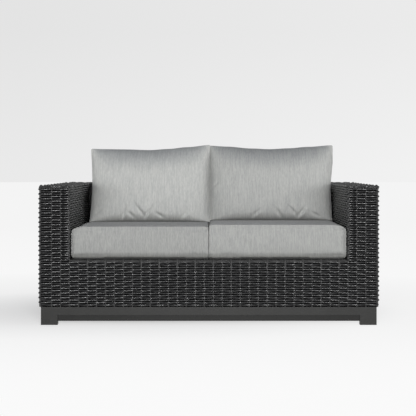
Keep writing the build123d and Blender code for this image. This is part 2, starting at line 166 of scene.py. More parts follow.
def add_node(tree, kind, values=None, **settings):
    """A new shader node with values for its sockets and its own settings."""
    node = tree.nodes.new(kind)
    for key, value in settings.items():
        setattr(node, key, value)
    for key, value in (values or {}).items():
        node.inputs[key].default_value = value
    return node


def object_pattern(tree, scale):
    """Object coordinates, stretched by a scale per axis."""
    place = add_node(tree, "ShaderNodeTexCoord")
    mapping = add_node(tree, "ShaderNodeMapping", {"Scale": scale})
    tree.links.new(place.outputs["Object"], mapping.inputs["Vector"])
    return mapping.outputs["Vector"]


def noise(tree, vector, scale, detail=2.0, roughness=0.5):
    """Noise from 0 to 1 over a vector."""
    node = add_node(
        tree, "ShaderNodeTexNoise", {"Scale": scale, "Detail": detail, "Roughness": roughness}
    )
    tree.links.new(vector, node.inputs["Vector"])
    return node.outputs["Fac"]


def ramp(tree, value, stops):
    """A colour ramp from (place, colour) pairs."""
    node = add_node(tree, "ShaderNodeValToRGB")
    points = node.color_ramp.elements
    while len(points) < len(stops):
        points.new(0.5)
    for point, (place, colour) in zip(points, stops):
        point.position = place
        point.color = (*colour, 1)
    tree.links.new(value, node.inputs["Fac"])
    return node.outputs["Color"]


def mix_colour(tree, share, first, second, blend="MIX"):
    """The second colour blended over the first by a share."""
    node = add_node(tree, "ShaderNodeMix", data_type="RGBA", blend_type=blend)
    sockets = [s for s in node.inputs if s.enabled]
    for socket, value in zip(sockets, (share, first, second)):
        if isinstance(value, bpy.types.NodeSocket):
            tree.links.new(value, socket)
        elif isinstance(value, tuple):
            socket.default_value = (*value, 1)
        else:
            socket.default_value = value
    return [s for s in node.outputs if s.enabled][0]


def map_range(tree, value, start, end, first, last):
    """A value carried over from one range to another, and kept within it."""
    node = add_node(
        tree, "ShaderNodeMapRange",
        {"From Min": start, "From Max": end, "To Min": first, "To Max": last},
    )
    tree.links.new(value, node.inputs["Value"])
    return node.outputs["Result"]


def bump(tree, main, height, distance, strength):
    node = add_node(tree, "ShaderNodeBump", {"Strength": strength, "Distance": distance})
    tree.links.new(height, node.inputs["Height"])
    tree.links.new(node.outputs["Normal"], main.inputs["Normal"])


def scaled(colour, by):
    return tuple(part * by for part in colour)


def resin_finish(colour):
    """Satin black resin with fine lengthwise grooves and a slightly uneven tone."""
    material, tree, main = shader("resin_wicker", colour, 0.3, 0.6)
    patches = noise(tree, object_pattern(tree, (9, 9, 60)), 1.0, 3.0)
    tone = ramp(tree, patches, [(0.3, scaled(colour, 0.7)), (0.7, scaled(colour, 1.45))])
    tree.links.new(tone, main.inputs["Base Color"])
    along = add_node(tree, "ShaderNodeTexCoord")
    stretch = add_node(tree, "ShaderNodeMapping", {"Scale": (60, 14, 1)})
    tree.links.new(along.outputs["UV"], stretch.inputs["Vector"])
    grooves = noise(tree, stretch.outputs["Vector"], 1.0, 2.0)
    tree.links.new(map_range(tree, grooves, 0, 1, 0.27, 0.33), main.inputs["Roughness"])
    bump(tree, main, grooves, 0.0002, 0.06)
    return material


# Painted shade in the cloth's colour, by the way it faces, from what faces straight down to what faces straight
# up: darker underneath, where the sofa shades it, and darker and cooler on top, as under a plain sky
painted_facing_shade = [
    (0.1, (0.45, 0.45, 0.44)), (0.34, (1, 1, 1)), (0.72, (1, 1, 1)), (0.97, (0.74, 0.76, 0.80)),
]

# Painted shade: how a seat cushion's colour darkens to its foot behind the apron's edge, and over which height
painted_foot_shade = [(0.08, (0.16, 0.16, 0.155)), (0.4, (0.52, 0.52, 0.51)), (1, (1, 1, 1))]
painted_foot_shade_height = 0.036

# Painted light and shade: a factor on the colours that a user sets, which makes each cushion's copy of the one
# cloth lighter or darker for how the light falls on it
painted_light_per_cushion = {
    "seat_cushion_left": 0.72,
    "seat_cushion_right": 0.76,
    "back_cushion_left": 1.07,
    "back_cushion_right": 0.93,
}


def cloth_finish(name, light, dark, foot=None):
    """Pale grey heather: fine upright streaks over a fine weave, with painted shade by the way the cloth faces
    and, from the height of a foot up, painted shade at the foot.
    """
    material, tree, main = shader(name, light, 0.92, 0.25)
    main.inputs["Sheen Weight"].default_value = 0.12
    main.inputs["Sheen Roughness"].default_value = 0.5
    wide = noise(tree, object_pattern(tree, (170, 14, 14)), 1.0, 3.0, 0.6)
    fine = noise(tree, object_pattern(tree, (560, 60, 60)), 1.0, 2.0, 0.6)
    tone = mix_colour(
        tree, 0.5,
        ramp(tree, wide, [(0.38, dark), (0.62, light)]),
        ramp(tree, fine, [(0.4, dark), (0.6, light)]),
    )
    # Painted shade: the colour darkens by the way the cloth faces
    way = add_node(tree, "ShaderNodeTexCoord")
    facing = add_node(tree, "ShaderNodeSeparateXYZ")
    tree.links.new(way.outputs["Normal"], facing.inputs[0])
    shade = ramp(tree, map_range(tree, facing.outputs["Z"], -1, 1, 0, 1), painted_facing_shade)
    tone = mix_colour(tree, 1.0, tone, shade, blend="MULTIPLY")
    # Painted shade at the foot of a seat cushion
    if foot is not None:
        place = add_node(tree, "ShaderNodeSeparateXYZ")
        tree.links.new(way.outputs["Object"], place.inputs[0])
        height = map_range(tree, place.outputs["Z"], foot, foot + painted_foot_shade_height, 0, 1)
        tone = mix_colour(tree, 1.0, tone, ramp(tree, height, painted_foot_shade), blend="MULTIPLY")
    tree.links.new(tone, main.inputs["Base Color"])
    yarn = noise(tree, object_pattern(tree, (1500, 900, 900)), 1.0, 2.0, 0.7)
    bump(tree, main, yarn, 0.0005, 0.35)
    return material


def cushion_cloth(body, cushions):
    """The cloth of one cushion, made lighter or darker by its painted light and shade, with painted shade at a
    seat cushion's foot.
    """
    shade = painted_light_per_cushion[body]
    light, dark = scaled(cushions.light, shade), scaled(cushions.dark, shade)
    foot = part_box(body + "_cover")[0].z if body.startswith("seat") else None
    return cloth_finish(body + "_cloth", light, dark, foot)


def speckled_finish(name, colour, roughness, specular=0.5, metallic=0.0, grain=900.0, depth=0.00015):
    """A plain finish with a fine grain and a faintly uneven tone."""
    material, tree, main = shader(name, colour, roughness, specular, metallic)
    vector = object_pattern(tree, (1, 1, 1))
    patches = noise(tree, vector, 14.0, 3.0)
    tone = ramp(tree, patches, [(0.3, scaled(colour, 0.92)), (0.7, scaled(colour, 1.08))])
    tree.links.new(tone, main.inputs["Base Color"])
    grains = noise(tree, vector, grain, 2.0)
    rough = map_range(tree, grains, 0, 1, roughness * 0.9, roughness * 1.12)
    tree.links.new(rough, main.inputs["Roughness"])
    bump(tree, main, grains, depth, 0.4)
    return material


def tape_finish():
    """Grey woven tape with a ribbed coil look along its middle."""
    material, tree, main = shader("zip_tape", (0.30, 0.30, 0.29), 0.8, 0.3)
    ribs = add_node(
        tree, "ShaderNodeTexWave", {"Scale": 260.0, "Distortion": 0.4, "Detail": 1.0},
        wave_type="BANDS",
    )
    tree.links.new(object_pattern(tree, (1, 0, 0)), ribs.inputs["Vector"])
    # The tone follows the ribs, darker in their hollows where the bump is low: painted shade
    tone = ramp(tree, ribs.outputs["Fac"], [(0.2, (0.22, 0.22, 0.215)), (0.8, (0.36, 0.36, 0.35))])
    tree.links.new(tone, main.inputs["Base Color"])
    bump(tree, main, ribs.outputs["Fac"], 0.0006, 0.6)
    return material


def give(obj, material):
    obj.data.materials.clear()
    obj.data.materials.append(material)


def new_piece(name, mesh, material, body="frame"):
    """A finished mesh as a piece of the loveseat."""
    obj = bpy.data.objects.new(name, mesh)
    bpy.context.scene.collection.objects.link(obj)
    give(obj, material)
    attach(obj, body)
    return obj


# Weaving

# How far the points of a strand's section are turned up to its top edge, in radians
lifted_edge = 0.11

# Share of the swing that a strand has at a stake, beside it and at a corner of the body
crest_share = 1.12
side_share = 0.66
corner_share = 0.75

# How far the points beside a stake and beside a corner lie from it, and how far a corner is drawn in
side_run = 0.010
corner_run = 0.011
corner_reach = 0.040
corner_draw = 0.0022

# The two lowest rows are drawn in to the base, and the lowest one passes a stake with a longer float
low_tucks = {0: 0.0022, 1: 0.0008}
low_float = 0.019

# Unevenness of the weave: share of the swing, height at a stake, and the height of a row's slow drift
swing_spread = 0.06
rise_spread = 0.00015
drift_height = 0.0008

# No stake stands nearer than this to a corner of the upper wall
corner_clearance = 0.02


def strand_profile(name, width, thickness):
    """Half-round section of a strand: flat behind, domed outwards along its X."""
    curve = bpy.data.curves.new(name, "CURVE")
    curve.dimensions = "2D"
    line = curve.splines.new("POLY")
    line.points.add(6)
    for i, point in enumerate(line.points):
        turn = math.pi * (i / 6 - 0.5)
        turn += lifted_edge * math.cos(turn)
        point.co = (thickness * (math.cos(turn) - 0.5), width / 2 * math.sin(turn), 0, 1)
    line.use_cyclic_u = True
    obj = bpy.data.objects.new(name, curve)
    bpy.context.scene.collection.objects.link(obj)
    return obj


def strands_mesh(name, routes, closed, profile=None, radius=0.0, steps=4, twist="Z_UP"):
    """One mesh of smooth strands that follow the routes, with a section profile or a round one."""
    curve = bpy.data.curves.new(name, "CURVE")
    curve.dimensions = "3D"
    curve.twist_mode = twist
    curve.resolution_u = steps
    if profile is not None:
        curve.bevel_mode = "OBJECT"
        curve.bevel_object = profile
    else:
        curve.bevel_depth = radius
        curve.bevel_resolution = 1
    curve.use_fill_caps = not closed
    for route in routes:
        line = curve.splines.new("NURBS")
        line.points.add(len(route) - 1)
        line.points.foreach_set("co", [value for point in route for value in (*point, 1.0)])
        line.use_cyclic_u = closed
        line.order_u = 3
        line.use_endpoint_u = not closed
        line.use_smooth = True
    obj = bpy.data.objects.new(name, curve)
    bpy.context.scene.collection.objects.link(obj)
    graph = bpy.context.evaluated_depsgraph_get()
    mesh = bpy.data.meshes.new_from_object(obj.evaluated_get(graph))
    mesh.name = name
    bpy.data.objects.remove(obj)
    bpy.data.curves.remove(curve)
    shell = bmesh.new()
    shell.from_mesh(mesh)
    bmesh.ops.recalc_face_normals(shell, faces=shell.faces)
    shell.to_mesh(mesh)
    shell.free()
    return mesh


def spread(start, end, count):
    """Places of the stakes between two ends, ends left out."""
    return [start + (end - start) * i / count for i in range(1, count)]


def side_places(weave):
    """Stakes of an arm's side, from the front to the rear."""
    return spread(body_low.y, body_high.y, weave.side_stakes)


def rear_places(weave):
    """Stakes of the rear, from left to right."""
    return spread(body_low.x, body_high.x, weave.rear_stakes)


def front_places(weave):
    """Stakes of the front, from left to right."""
    first = weave.first_stake
    span = body_high.x - body_low.x - 2 * first
    return [body_low.x + first + span * i / weave.front_stakes for i in range(weave.front_stakes + 1)]


def wall_stations(weave, upper):
    """Stakes and corners of one row, going round the body anticlockwise from the front left corner."""
    x0, x1, y0, y1 = body_low.x, body_high.x, body_low.y, body_high.y
    inner, rear = arm_inner_x, back_front_y
    near = inner - corner_clearance
    far = inner + corner_clearance
    deep = rear - corner_clearance
    sides, backs, fronts = side_places(weave), rear_places(weave), front_places(weave)
    stations = [((x0, y0), True)]
    if upper:
        stations += [((x, y0), False) for x in fronts if x < -far]
        stations.append(((-inner, y0), True))
        stations += [((-inner, y), False) for y in sides if y < deep]
        stations.append(((-inner, rear), True))
        stations += [((x, rear), False) for x in backs if abs(x) < near]
        stations.append(((inner, rear), True))
        stations += [((inner, y), False) for y in reversed(sides) if y < deep]
        stations.append(((inner, y0), True))
        stations += [((x, y0), False) for x in fronts if x > far]
    else:
        stations += [((x, y0), False) for x in fronts]
    stations.append(((x1, y0), True))
    stations += [((x1, y), False) for y in sides]
    stations.append(((x1, y1), True))
    stations += [((x, y1), False) for x in reversed(backs)]
    stations.append(((x0, y1), True))
    stations += [((x0, y), False) for y in reversed(sides)]
    return stations


def wall_route(weave, stations, row, height, chance):
    """Control points of one row: out over every other stake, in behind the rest."""
    count = len(stations)
    points = []
    tuck = low_tucks.get(row, 0.0) + weave.depth
    for i, (place, is_corner) in enumerate(stations):
        here = Vector(place)
        before = here - Vector(stations[i - 1][0])
        after = Vector(stations[(i + 1) % count][0]) - here
        step_in, step_out = before.normalized(), after.normalized()
        normal_in = Vector((step_in.y, -step_in.x))
        normal_out = Vector((step_out.y, -step_out.x))
        over = (i + row) % 2 == 1
        swing = weave.wave if over else -weave.wave
        swing *= 1 + chance.uniform(-swing_spread, swing_spread)
        drift = drift_height * math.sin(4.1 * here.x + 2.3 * here.y)
        rise = height + chance.uniform(-rise_spread, rise_spread) + drift
        if is_corner:
            out = corner_share * swing - tuck
            turn = normal_in + normal_out
            tip = turn / turn.length_squared * 2
            long_in = min(corner_reach, before.length * 0.6)
            long_out = min(corner_reach, after.length * 0.6)
            points.append((here - step_in * long_in + normal_in * out, rise))
            points.append((here - step_in * corner_run + normal_in * out, rise))
            points.append((here + tip * (out - corner_draw), rise))
            points.append((here + step_out * corner_run + normal_out * out, rise))
            points.append((here + step_out * long_out + normal_out * out, rise))
        elif row == 0 and over:
            out = swing - tuck
            points.append((here - step_in * low_float + normal_in * out, rise))
            points.append((here + step_out * low_float + normal_out * out, rise))
        else:
            crest = crest_share * swing - tuck
            side = side_share * swing - tuck
            run_in, run_out = min(side_run, before.length / 4), min(side_run, after.length / 4)
            points.append((here - step_in * run_in + normal_in * side, rise))
            points.append((here + normal_in * crest, rise))
            points.append((here + step_out * run_out + normal_out * side, rise))
    return [(point.x, point.y, z) for point, z in points]


def row_height(weave, row):
    """Height of the middle of a row, counted from the lowest."""
    return body_low.z + (row + 1) * weave.row_pitch


class LOVESEAT_OT_walls(bpy.types.Operator):
    """Weave the rows of strands round the outside, the apron and the inner faces"""
    bl_idname = "loveseat.walls"
    bl_label = "Woven walls"

    def execute(self, context):
        weave = context.scene.loveseat_weave
        chance = random.Random(11)
        resin = resin_finish(tuple(weave.colour))
        profile = strand_profile("strand_profile", weave.strand_width, weave.strand_thickness)
        low_rows = round((deck_top - body_low.z) / weave.row_pitch) - 1
        all_rows = round((body_high.z - body_low.z) / weave.row_pitch - 0.3)
        groups = [("weave_lower_a", 0, low_rows // 2), ("weave_lower_b", low_rows // 2, low_rows)]
        cuts = [low_rows + round((all_rows - low_rows) * part / 3) for part in range(4)]
        groups += [(f"weave_upper_{'abc'[i]}", cuts[i], cuts[i + 1]) for i in range(3)]
        nodes = ["wicker_apron", "wicker_back", "wicker_arm_left", "wicker_arm_right"]
        for name, first, last in groups:
            routes = []
            for row in range(first, last):
                stations = wall_stations(weave, row >= low_rows)
                routes.append(wall_route(weave, stations, row, row_height(weave, row), chance))
            mesh = strands_mesh(name, routes, True, profile, steps=2)
            piece = new_piece(name, mesh, resin)
            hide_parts(*nodes)
        bpy.data.objects.remove(profile)
        return {"FINISHED"}


# Radius of a bend of a stake, and of the posts that round off the body's upright corners
stake_bend = 0.012
post_radius = 0.0062

# Inset of the roll along the apron's upper edge
edge_roll = 0.0068

# Section of the wraps over that edge: places behind the front and over the deck
edge_wrap = [
    (0.016, -0.0015), (0.005, 0.0), (-0.0015, -0.006), (-0.0035, -0.015), (-0.0035, -0.025),
    (0.0005, -0.033), (0.005, -0.040),
]


def over_top(a, b, foot, high, deck_end):
    """From the foot of one wall over the top to the inner wall, as (across, height) pairs."""
    turn = 1 if b > a else -1
    path = [(a, foot), (a, (foot + high) / 2), (a, high - stake_bend), (a, high)]
    path.append((a + turn * stake_bend, high))
    if deck_end is None:
        path += [(b - turn * 0.02, high), (b, high), (b + turn * 0.004, high - stake_bend)]
    else:
        path += [((a + b) / 2, high), (b - turn * stake_bend, high), (b, high), (b, high - stake_bend)]
        path += [(b, (deck_end + high) / 2), (b, deck_end)]
    return path


class LOVESEAT_OT_stakes(bpy.types.Operator):
    """Stand the stakes that the rows are woven round, and take them over the top"""
    bl_idname = "loveseat.stakes"
    bl_label = "Stakes"

    def execute(self, context):
        weave = context.scene.loveseat_weave
        foot = body_low.z + 0.002
        stakes = self.lay(
            "weave_stakes", self.stake_routes(weave, foot, weave.depth + 0.0024), weave.stake_radius
        )
        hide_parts("wicker_deck")
        self.lay("weave_posts", self.post_routes(weave, foot), post_radius * 0.8)
        return {"FINISHED"}

    def lay(self, name, routes, radius):
        """Round strands along the routes as one piece."""
        mesh = strands_mesh(name, routes, False, radius=radius, steps=3, twist="MINIMUM")
        return new_piece(name, mesh, bpy.data.materials["resin_wicker"])

    def stake_routes(self, weave, foot, inset):
        """Each stake goes up its wall, over the top and down inside, or over the apron and the deck."""
        y0, x1, y1 = body_low.y, body_high.x, body_high.y
        inner, rear, deck = arm_inner_x, back_front_y, deck_top
        high = body_high.z - inset
        routes = []
        for y in side_places(weave):
            for side in (-1, 1):
                outer = side * (x1 - inset)
                if y < rear - corner_clearance:
                    path = over_top(outer, side * (inner + inset), foot, high, deck)
                else:
                    path = over_top(outer, side * (x1 - (y1 - y)), foot, high, None)
                routes.append([(a, y, z) for a, z in path])
        for x in rear_places(weave):
            outer = y1 - inset
            if abs(x) < inner - corner_clearance:
                path = over_top(outer, rear + inset, foot, high, deck)
            else:
                path = over_top(outer, y1 - (x1 - abs(x)), foot, high, None)
            routes.append([(x, a, z) for a, z in path])
        for x in front_places(weave):
            front = y0 + inset
            if abs(x) > inner:
                path = over_top(front, front + 0.04, foot, high, None)
            else:
                low = deck + 0.001
                path = [(front, foot), (front, (foot + low) / 2), (front, low - stake_bend)]
                path += [(front, low), (front + stake_bend, low)]
                path += [(front + 0.1, low - 0.002), (rear, low - 0.002)]
            routes.append([(x, a, z) for a, z in path])
        return routes

    def post_routes(self, weave, foot):
        """Posts in the upright corners, the roll along the apron's edge and the wraps over it."""
        x0, x1, y0, y1 = body_low.x, body_high.x, body_low.y, body_high.y
        inner, top, deck = arm_inner_x, body_high.z, deck_top
        pull = post_radius + 0.0012
        post_top = top - 0.006
        routes = []
        for x in (x0 + pull, x1 - pull):
            for y in (y0 + pull, y1 - pull):
                routes.append([(x, y, foot), (x, y, (foot + top) / 2), (x, y, post_top)])
        y = y0 + pull
        for x in (-inner - pull, inner + pull):
            routes.append([(x, y, deck), (x, y, (deck + top) / 2), (x, y, post_top)])
        y, z = y0 + edge_roll, deck - edge_roll
        routes.append([(-inner, y, z), (0, y, z), (inner, y, z)])
        for i, x in enumerate(front_places(weave)):
            if abs(x) < inner and i % 2 == 0:
                routes.append([(x, y0 + behind, deck + over) for behind, over in edge_wrap])
        return routes


def box_mesh(name, low, high):
    """A plain box between two corners, as an object that a cut is made in or with."""
    form = bmesh.new()
    bmesh.ops.create_cube(form, size=1.0)
    bmesh.ops.scale(form, vec=Vector(high) - Vector(low), verts=form.verts)
    bmesh.ops.translate(form, vec=(Vector(low) + Vector(high)) / 2, verts=form.verts)
    mesh = bpy.data.meshes.new(name)
    form.to_mesh(mesh)
    form.free()
    obj = bpy.data.objects.new(name, mesh)
    bpy.context.scene.collection.objects.link(obj)
    return obj


# How far behind the outer face of the weave its near-black backing lies, a sheet of painted shade for the weave's
# dark inside
backing_depth = 0.0078


class LOVESEAT_OT_backing(bpy.types.Operator):
    """Line the inside of the weave, and close the body from below, with a near-black backing: a sheet of painted
    shade
    """
    bl_idname = "loveseat.backing"
    bl_label = "Painted shade backing"

    def execute(self, context):
        inside = backing_depth
        low = (body_low.x + inside, body_low.y + inside, body_low.z + 0.0006)
        high = (body_high.x - inside, body_high.y - inside, body_high.z - inside)
        body = box_mesh("backing_body", low, high)
        pocket = box_mesh(
            "backing_pocket",
            (-arm_inner_x - inside, body_low.y - 0.1, deck_top - inside),
            (arm_inner_x + inside, back_front_y + inside, body_high.z + 0.1),
        )
        cut = body.modifiers.new("pocket", "BOOLEAN")
        cut.operation = "DIFFERENCE"
        cut.solver = "EXACT"
        cut.object = pocket
        graph = bpy.context.evaluated_depsgraph_get()
        mesh = bpy.data.meshes.new_from_object(body.evaluated_get(graph))
        mesh.name = "weave_shade_backing"
        bpy.data.objects.remove(body)
        bpy.data.objects.remove(pocket)
        # Near-black colour: painted shade seen through the weave's gaps
        cloth = speckled_finish("painted_shade_backing", (0.002, 0.002, 0.002), 0.95, 0.05, grain=500.0)
        new_piece("weave_shade_backing", mesh, cloth)
        return {"FINISHED"}


# How much further than in the walls a strand swings at a stake of the tops, where stakes lie flat
top_swing = 2

# How far the strands of the tops end under their front edge, how short they turn at the rear corners,
# and how near to a turn a stake may lie
top_end = 0.013
top_turn = 0.008
stake_clearance = 0.012

# The seat deck: its rows of flat strands, and the heights of its crossings below the deck's top
deck_rows = 44
deck_strand = (0.0135, 0.0036)
deck_over = 0.0005
deck_under = 0.0085


class LOVESEAT_OT_tops(bpy.types.Operator):
    """Weave the tops of the arms and the back, and the seat deck"""
    bl_idname = "loveseat.tops"
    bl_label = "Woven tops and deck"

    def execute(self, context):
        weave = context.scene.loveseat_weave
        pitch = (body_high.x - arm_inner_x) / weave.top_rows
        profile = strand_profile("top_profile", pitch * 0.86, weave.strand_thickness)
        walls = ("wicker_back", "wicker_arm_left", "wicker_arm_right")
        self.lay("weave_top", self.top_routes(weave, pitch), profile, walls)
        profile = strand_profile("deck_profile", *deck_strand)
        self.lay("weave_deck", self.deck_routes(weave), profile, ("wicker_deck",))
        return {"FINISHED"}

    def top_routes(self, weave, pitch):
        """Each strand runs along one arm, the back and the other arm, over and under the stakes."""
        chance = random.Random(12)
        x1, y0, y1 = body_high.x, body_low.y, body_high.y
        level = body_high.z - weave.depth
        sides, backs = side_places(weave), rear_places(weave)

        def crossing(over):
            """Height at a stake."""
            swing = weave.wave if over else -weave.wave
            return level + top_swing * swing * (1 + chance.uniform(-swing_spread, swing_spread))

        routes = []
        for row in range(weave.top_rows):
            inside = (row + 0.5) * pitch
            edge, rear = x1 - inside, y1 - inside
            half = [(y, (i + row) % 2 == 0) for i, y in enumerate(sides) if y < rear - stake_clearance]
            flat = [
                (x, (len(sides) + 1 + i + row) % 2 == 0)
                for i, x in enumerate(backs) if abs(x) < edge - stake_clearance
            ]
            path = [(-edge, y0 + 0.001, level - top_end), (-edge, y0 + 0.002, level)]
            path += [(-edge, y, crossing(over)) for y, over in half]
            path += [(-edge, rear - top_turn, level), (-edge, rear, level)]
            path.append((-edge + top_turn, rear, level))
            path += [(x, rear, crossing(over)) for x, over in flat]
            path.append((edge - top_turn, rear, level))
            path += [(edge, rear, level), (edge, rear - top_turn, level)]
            path += [(edge, y, crossing(over)) for y, over in reversed(half)]
            path += [(edge, y0 + 0.002, level), (edge, y0 + 0.001, level - top_end)]
            routes.append(path)
        return routes

    def deck_routes(self, weave):
        """Rows of the seat deck from arm to arm."""
        first = body_low.y + 0.02
        span = back_front_y - body_low.y - 0.03
        end = deck_top - 0.002
        routes = []
        for row in range(deck_rows):
            y = first + span * row / (deck_rows - 1)
            path = [(-arm_inner_x, y, end)]
            for i, x in enumerate(front_places(weave)):
                if abs(x) < arm_inner_x - stake_clearance:
                    path.append((x, y, deck_top - (deck_over if (i + row) % 2 == 0 else deck_under)))
            path.append((arm_inner_x, y, end))
            routes.append(path)
        return routes

    def lay(self, name, routes, profile, nodes):
        """Flat weaving as one piece: the section is turned so that its dome faces up."""
        for point in profile.data.splines[0].points:
            across, out = point.co.y, point.co.x
            point.co = (-across, out, 0, 1)
        mesh = strands_mesh(name, routes, False, profile)
        piece = new_piece(name, mesh, bpy.data.materials["resin_wicker"])
        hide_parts(*nodes)
        bpy.data.objects.remove(profile)


# Cushions

def settle(obj, pressure, swell, frames=20, slack=0.0, held=()):
    """Let the filling press the cloth out between its held points, no further than the swell limit."""
    scene = bpy.context.scene
    cloth = obj.modifiers.new("filling", "CLOTH")
    if held:
        group = obj.vertex_groups.new(name="held")
        group.add(list(held), 1.0, "REPLACE")
        cloth.settings.vertex_group_mass = group.name
    cloth.settings.use_pressure = True
    cloth.settings.uniform_pressure_force = pressure
    cloth.settings.effector_weights.gravity = 0
    cloth.settings.quality = 5
    cloth.settings.shrink_min = -slack
    cloth.settings.bending_stiffness = 0.4
    cloth.point_cache.frame_start = 1
    cloth.point_cache.frame_end = frames
    for number in range(1, frames + 1):
        scene.frame_set(number)
    graph = bpy.context.evaluated_depsgraph_get()
    swollen = obj.evaluated_get(graph).data
    places = [vertex.co.copy() for vertex in swollen.vertices]
    obj.modifiers.remove(cloth)
    obj.vertex_groups.clear()
    scene.frame_set(1)
    for vertex, place in zip(obj.data.vertices, places):
        move = place - vertex.co
        if move.length > 1e-6:
            vertex.co += move.normalized() * swell * math.tanh(move.length / swell)


def cell_box(size, cell):
    """A closed box of square cells, centred, as a bmesh."""
    form = bmesh.new()
    bmesh.ops.create_cube(form, size=1.0)
    bmesh.ops.scale(form, vec=size, verts=form.verts)
    for axis in range(3):
        along = [
            edge for edge in form.edges
            if abs((edge.verts[0].co - edge.verts[1].co)[axis]) > size[axis] * 0.9
        ]
        cuts = max(1, round(size[axis] / cell) - 1)
        bmesh.ops.subdivide_edges(form, edges=along, cuts=cuts, use_grid_fill=True)
    return form


def round_off(point, half, radius):
    """Move a point of a box's face onto the same box with rounded edges."""
    core = Vector(
        [max(-(h - radius), min(h - radius, value)) for h, value in zip(half, point)]
    )
    out = point - core
    return core + out.normalized() * radius if out.length > 1e-9 else point


def within(value):
    """A value kept between 0 and 1."""
    return min(1, max(0, value))


def cushion_piece(body, form, place, material):
    """A closed bmesh, moved to its place, as the smooth cloth of one cushion."""
    mesh = bpy.data.meshes.new(body + "_cloth")
    form.to_mesh(mesh)
    form.free()
    mesh.transform(place)
    for face in mesh.polygons:
        face.use_smooth = True
    return new_piece(body + "_cloth", mesh, material, body)


def smooth_over(piece):
    """One level of smoothing for a cushion's cloth."""
    smooth = piece.modifiers.new("smooth", "SUBSURF")
    smooth.levels = smooth.render_levels = 1


# How far a seat cushion's crown stands over its solid, how far its top gives under the back cushion,
# how far its ends stand proud, and how round the end at the other seat cushion stays
seat_rise = 0.003
seat_sag = 0.010
seat_proud = 0.0013
seat_pressed = 0.003

# How high and deep a seat cushion's front curves in at the bottom
seat_under_height = 0.054
seat_under_depth = 0.034

# The cloth's cells, swell and slack, how far from an end it is held, how far its front stays off the foam,
# and from how far below the foam it does
seat_cell = 0.0095
seat_swell = 0.004
seat_slack = 0.006
seat_held = 0.005
foam_gap = 0.0035
foam_edge = 0.007


class LOVESEAT_OT_seat_cushions(bpy.types.Operator):
    """Make the two boxed seat cushions"""
    bl_idname = "loveseat.seat_cushions"
    bl_label = "Seat cushions"

    def execute(self, context):
        cushions = context.scene.loveseat_cushions
        for side in ("left", "right"):
            body = f"seat_cushion_{side}"
            low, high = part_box(body + "_cover")
            material = cushion_cloth(body, cushions)
            inner = 1 if side == "left" else -1
            size = high - low
            size.z -= cushions.seat_crown - seat_rise
            size.x += cushions.seat_round - seat_pressed + 2 * seat_proud
            centre = (low + high) / 2
            centre.z = low.z + size.z / 2
            centre.x += inner * (cushions.seat_round - seat_pressed) / 2
            form = cell_box(size, seat_cell)
            for vertex in form.verts:
                vertex.co = self.boxed(vertex.co, size / 2, centre, inner, cushions)
            piece = cushion_piece(body, form, Matrix.Translation(centre), material)
            ends = [
                vertex.index for vertex in piece.data.vertices
                if min(vertex.co.x - low.x, high.x - vertex.co.x) < seat_held
            ]
            settle(piece, cushions.pressure, seat_swell, slack=seat_slack, held=ends)
            zip_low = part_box(body + "_zip_tape")[0]
            foam_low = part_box(body + "_foam")[0]
            for vertex in piece.data.vertices:
                point = vertex.co
                point.z = max(point.z, low.z)
                point.x = min(max(point.x, low.x - seat_proud), high.x + seat_proud)
                point.y = min(max(point.y, low.y - 0.004), zip_low.y)
                point.z = min(point.z, high.z + seat_rise)
                if point.y < centre.y and point.z > foam_low.z - foam_edge:
                    point.y = min(point.y, foam_low.y - foam_gap)
            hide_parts(body + "_cover")
            smooth_over(piece)
        return {"FINISHED"}

    def boxed(self, flat, half, centre, inner, cushions):
        """A point of the flat box on the boxed form, which has rounded edges, a flat inner end, a front
        that curves in at its foot, and a crowned top that gives under the back cushion."""
        radius = cushions.seat_round
        up = flat.z / half.z
        bow_x = 1 - (flat.x / half.x) ** 2
        bow_y = 1 - (flat.y / half.y) ** 2
        point = round_off(flat, half, radius)
        from_end = half.x - inner * point.x
        if from_end < radius:
            point.x = inner * (half.x - (radius - seat_pressed) - from_end * seat_pressed / radius)
            level = within((abs(point.z) - half.z + radius) / radius)
            back = point.y + half.y
            if back < radius:
                point.y = back * (0.25 + 0.75 * level) - half.y
        point.y *= 1 - 0.004 * bow_x
        under = within(1 - (point.z + half.z) / seat_under_height)
        if point.y + half.y < seat_under_height:
            tucked = seat_under_depth * (1 - math.sqrt(1 - under * under)) - half.y
            point.y = max(point.y, tucked)
        if up > 0:
            point.z += up * cushions.seat_crown * max(0, bow_x) ** 0.18 * max(0, bow_y) ** 0.25
            sag = within((point.y + centre.y + 0.06) / 0.10)
            point.z -= up ** 3 * seat_sag * sag * sag * (3 - 2 * sag)
        return point


def blend_table(table, place):
    """Value at a place in a table of (place, value) pairs, with smooth steps between them."""
    if place <= table[0][0]:
        return table[0][1]
    for (a, va), (b, vb) in zip(table, table[1:]):
        if place <= b:
            part = (place - a) / (b - a)
            part = part * part * (3 - 2 * part)
            return va + (vb - va) * part
    return table[-1][1]


